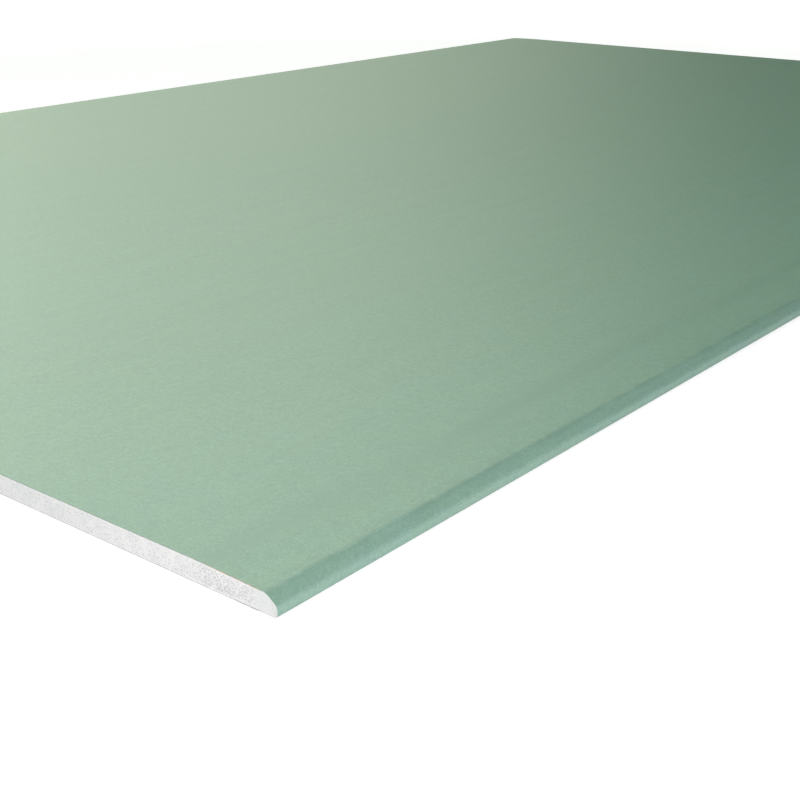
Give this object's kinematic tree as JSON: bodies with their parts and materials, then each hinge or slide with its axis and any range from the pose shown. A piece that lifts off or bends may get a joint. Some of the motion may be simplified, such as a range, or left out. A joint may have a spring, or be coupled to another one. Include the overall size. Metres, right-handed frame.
{
  "type": "drywall sheet",
  "caption": "Flat moisture-resistant gypsum board lined with paper on both faces, with tapered and rounded long edges and square-cut ends.",
  "frame": {"origin": "on the surface that the sheet lies on, under its middle", "axes": "+X across the sheet to a long edge, +Y along the sheet to a cut end, +Z out of the face"},
  "size_m": [1.25, 2, 0.0125],
  "materials": {
    "gypsum": "dry porous gypsum, matt, with fine pits and pale rims next to the paper",
    "face_paper": "smooth calendered green paper, matt with a faint sheen",
    "back_paper": "rougher recycled grey paper, matt"
  },
  "bodies": {
    "root": {"gypsum_core": "gypsum", "face_paper": "face_paper", "back_paper": "back_paper"}
  },
  "joints": []
}
